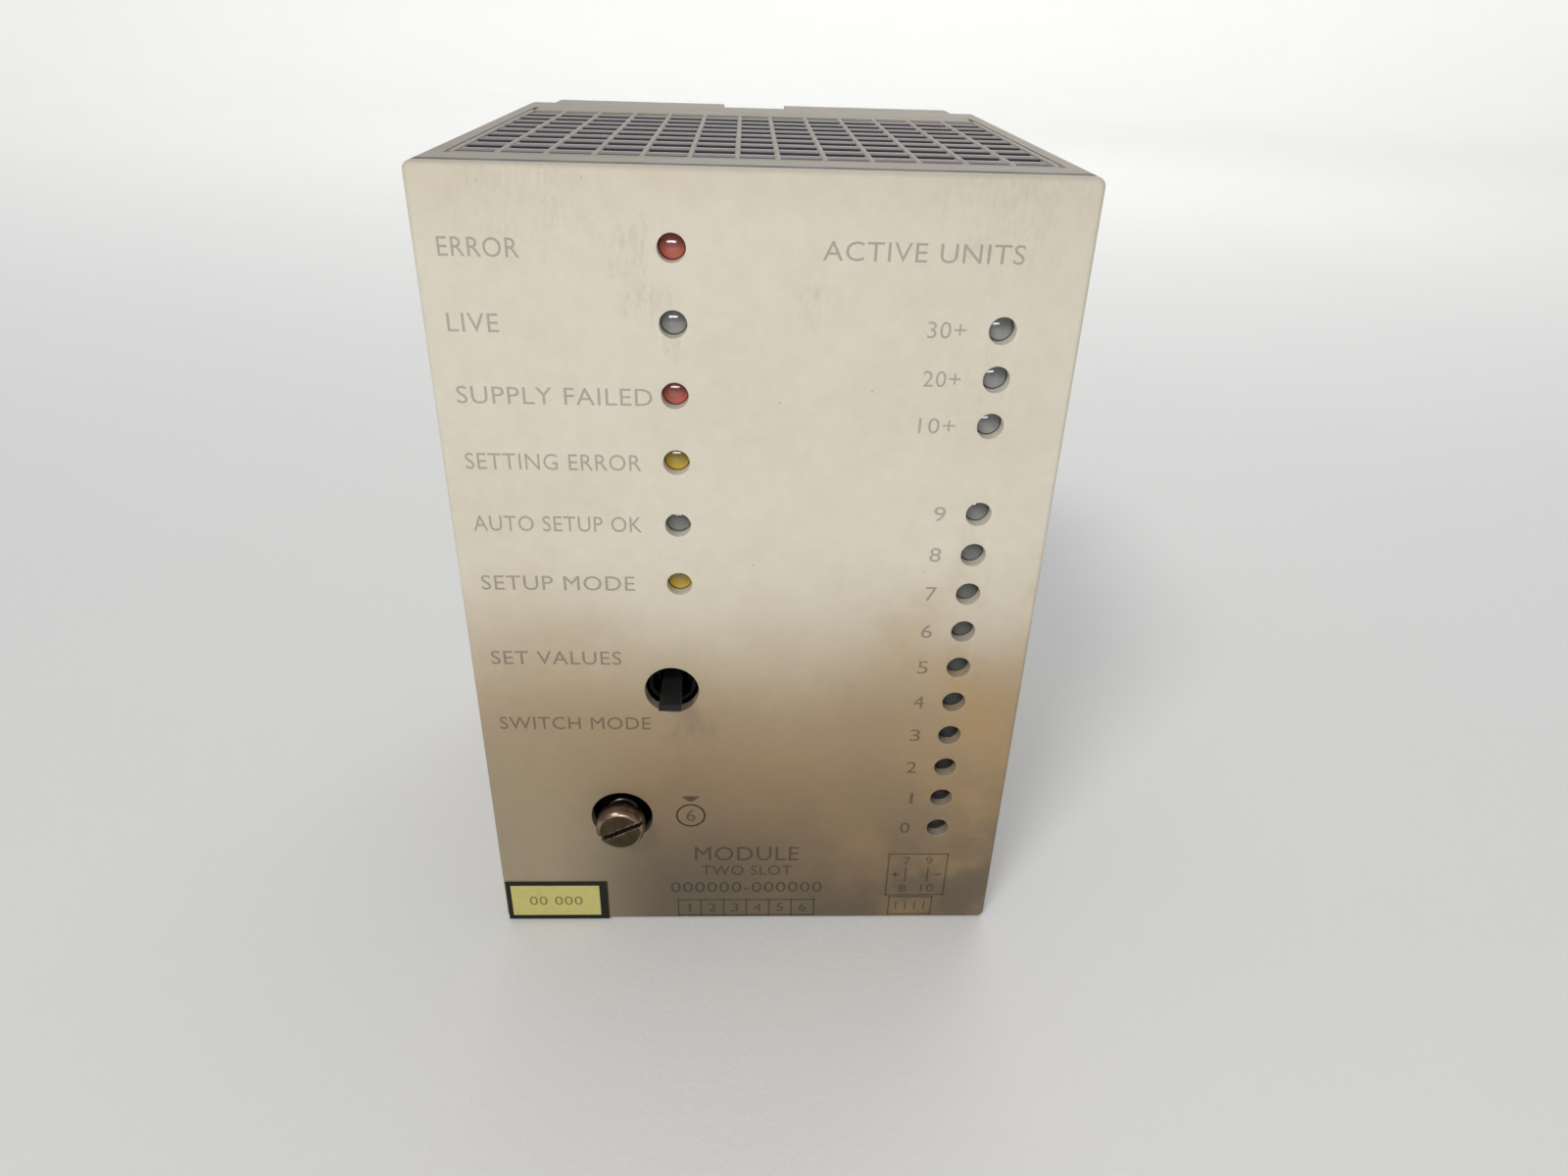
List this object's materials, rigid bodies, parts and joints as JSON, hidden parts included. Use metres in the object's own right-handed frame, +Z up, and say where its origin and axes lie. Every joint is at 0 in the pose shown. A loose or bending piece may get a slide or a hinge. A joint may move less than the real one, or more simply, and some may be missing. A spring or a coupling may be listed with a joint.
{
  "type": "plc module",
  "caption": "Upright box-shaped rack controller module with vent grilles, status lights, a momentary toggle switch, a captive slotted fixing screw and rear plugs.",
  "frame": {"origin": "centre of the overall footprint, on the underside that the module stands on", "axes": "+X to the right seen from the front, +Y to the back where it plugs in, +Z up; the front cover faces -Y"},
  "size_m": [0.0914, 0.103, 0.135],
  "materials": {
    "cover_plastic": "fine matt, yellowed by age and heat",
    "sleeve_plastic": "fine matt, dusty",
    "black_plastic": "satin",
    "led_red": "tinted diffused resin",
    "led_yellow": "tinted diffused resin",
    "led_clear": "clear grey resin",
    "screw_steel": "yellow zinc plated, worn",
    "circuit_board": "green solder mask",
    "aluminium": "satin",
    "contact_gold": "polished",
    "capacitor_wrap": "shrink sleeve",
    "ferrite": "sintered, matt",
    "copper_wire": "lacquered wire",
    "label_yellow": "self-adhesive film, soiled"
  },
  "bodies": {
    "housing": {"front_cover": "cover_plastic", "cover_clip_left": "cover_plastic", "cover_clip_right": "cover_plastic", "coding_key": "cover_plastic", "housing_sleeve": "sleeve_plastic", "top_vent_grille": "sleeve_plastic", "bottom_vent_grille": "sleeve_plastic", "rear_cover": "sleeve_plastic", "screw_guide_tube": "black_plastic", "switch_body": "black_plastic", "switch_bushing": "black_plastic", "switch_pivot_pin": "screw_steel", "led_holder_left": "black_plastic", "led_holder_right": "black_plastic", "front_board": "circuit_board", "main_board": "circuit_board", "link_board": "circuit_board", "board_spacer_1": "aluminium", "board_spacer_2": "aluminium", "board_spacer_3": "aluminium", "board_spacer_4": "aluminium", "rear_plug_left": "black_plastic", "rear_plug_right": "black_plastic", "rear_contacts_left": "contact_gold", "rear_contacts_right": "contact_gold", "board_link_left": "black_plastic", "board_link_right": "black_plastic", "processor_chip": "black_plastic", "memory_chip": "black_plastic", "bus_chip": "black_plastic", "clock_crystal": "aluminium", "input_capacitor": "capacitor_wrap", "transformer_core": "ferrite", "transformer_winding": "copper_wire", "heat_sink": "aluminium", "voltage_regulator": "black_plastic", "id_label": "label_yellow", "led_status_1": "led_red", "led_status_2": "led_clear", "led_status_3": "led_red", "led_status_4": "led_yellow", "led_status_5": "led_clear", "led_status_6": "led_yellow", "led_tens_30": "led_clear", "led_tens_20": "led_clear", "led_tens_10": "led_clear", "led_units_9": "led_clear", "led_units_8": "led_clear", "led_units_7": "led_clear", "led_units_6": "led_clear", "led_units_5": "led_clear", "led_units_4": "led_clear", "led_units_3": "led_clear", "led_units_2": "led_clear", "led_units_1": "led_clear", "led_units_0": "led_clear"},
    "switch_lever": {"switch_lever": "black_plastic"},
    "screw_carriage": {"screw_sleeve": "screw_steel", "screw_retaining_washer": "black_plastic"},
    "fixing_screw": {"fixing_screw": "screw_steel"}
  },
  "joints": [
    {"name": "switch_toggle", "type": "hinge", "parent": "housing", "child": "switch_lever", "pos_m": [-0.0132, -0.0375, 0.0532], "axis": [1, 0, 0], "range_deg": [-13, 13], "stiffness_Nm_per_rad": 0.06},
    {"name": "screw_slide", "type": "slide", "parent": "housing", "child": "screw_carriage", "axis": [0, 1, 0], "range_m": [0, 0.008]},
    {"name": "screw_turn", "type": "hinge", "parent": "screw_carriage", "child": "fixing_screw", "pos_m": [-0.0228, 0, 0.0256], "axis": [0, 1, 0], "continuous": true}
  ]
}
